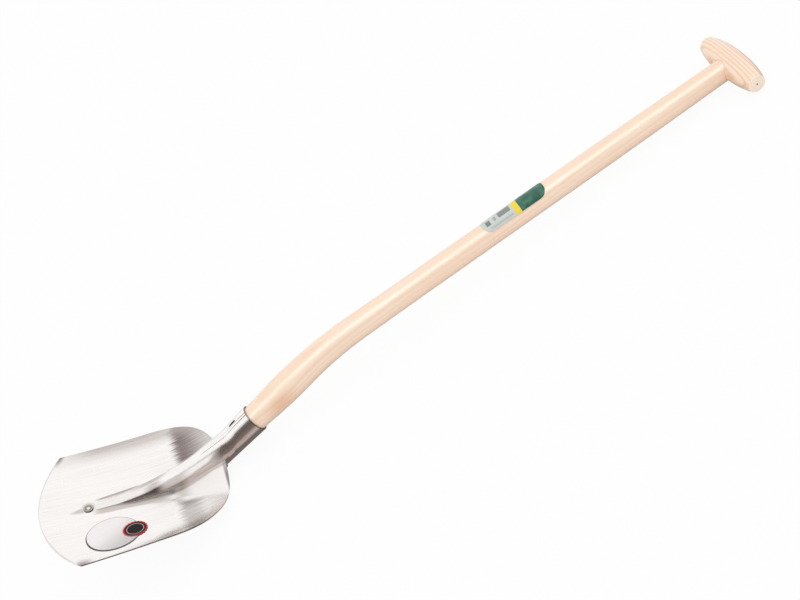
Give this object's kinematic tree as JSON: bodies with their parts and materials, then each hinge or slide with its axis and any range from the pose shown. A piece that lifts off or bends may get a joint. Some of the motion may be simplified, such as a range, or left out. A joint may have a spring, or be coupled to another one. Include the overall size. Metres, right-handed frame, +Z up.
{
  "type": "scoop shovel",
  "caption": "Long-handled scoop shovel with a pressed steel pan, a ridge running into a rolled socket, a bent wooden shaft and a turned T-grip.",
  "frame": {"origin": "bottom centre of the bounding box, on the ground the shovel lies on", "axes": "+X from the blade to the grip, +Z up out of the pan, Y across the blade"},
  "size_m": [1.1998, 0.2204, 0.131],
  "materials": {
    "steel": "ground and clear coated",
    "ash": "sanded",
    "label": "printed, semi-gloss",
    "film": "clear film",
    "tag": "printed film"
  },
  "bodies": {
    "root": {"blade": "steel", "back_strap": "steel", "strap_rivet": "steel", "socket": "steel", "neck_weld_far": "steel", "neck_weld_near": "steel", "shaft": "ash", "grip": "ash", "socket_screw": "steel", "grip_nail": "steel", "shaft_label": "label", "blade_sticker": "film", "sticker_tag": "tag"}
  },
  "joints": []
}
